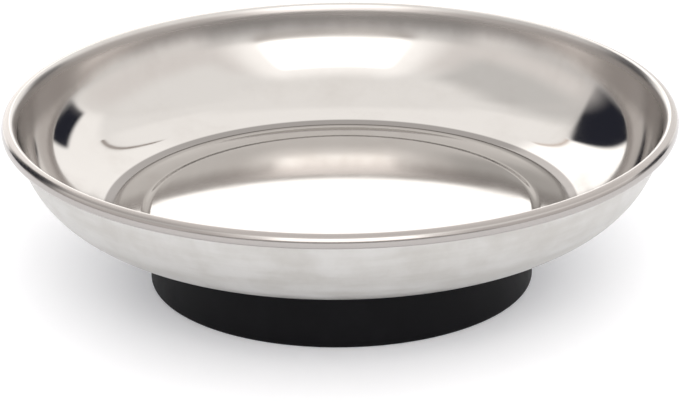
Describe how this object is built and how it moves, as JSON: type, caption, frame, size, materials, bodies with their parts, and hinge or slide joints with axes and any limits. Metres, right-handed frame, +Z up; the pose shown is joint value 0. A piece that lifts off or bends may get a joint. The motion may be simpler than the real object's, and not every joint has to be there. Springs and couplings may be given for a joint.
{
  "type": "magnetic parts tray",
  "caption": "Round polished steel dish with a curled rim on a rubber-booted ring magnet, for keeping screws and small parts in place on a bench or on any steel surface.",
  "frame": {"origin": "centre of the boot's flat underside, on the surface that the tray stands on", "axes": "+Z up along the axis of the dish, +Y away from the viewer of the picture, +X to the viewer's right"},
  "size_m": [0.151, 0.151, 0.0393],
  "materials": {
    "polished_stainless": "mirror polished inside and on the rim, fine satin outside",
    "black_rubber": "moulded matte black",
    "ferrite": "sintered, ground faces",
    "foam": "closed-cell foam",
    "zinc_plated_steel": "bright zinc plate",
    "spring_steel": "dull zinc plate"
  },
  "bodies": {
    "root": {"dish": "polished_stainless", "weld_stud": "zinc_plated_steel", "foam_pad": "foam", "ring_magnet": "ferrite", "clamp_cup": "zinc_plated_steel", "spring_washer": "spring_steel", "hex_nut": "zinc_plated_steel", "boot": "black_rubber"}
  },
  "joints": []
}
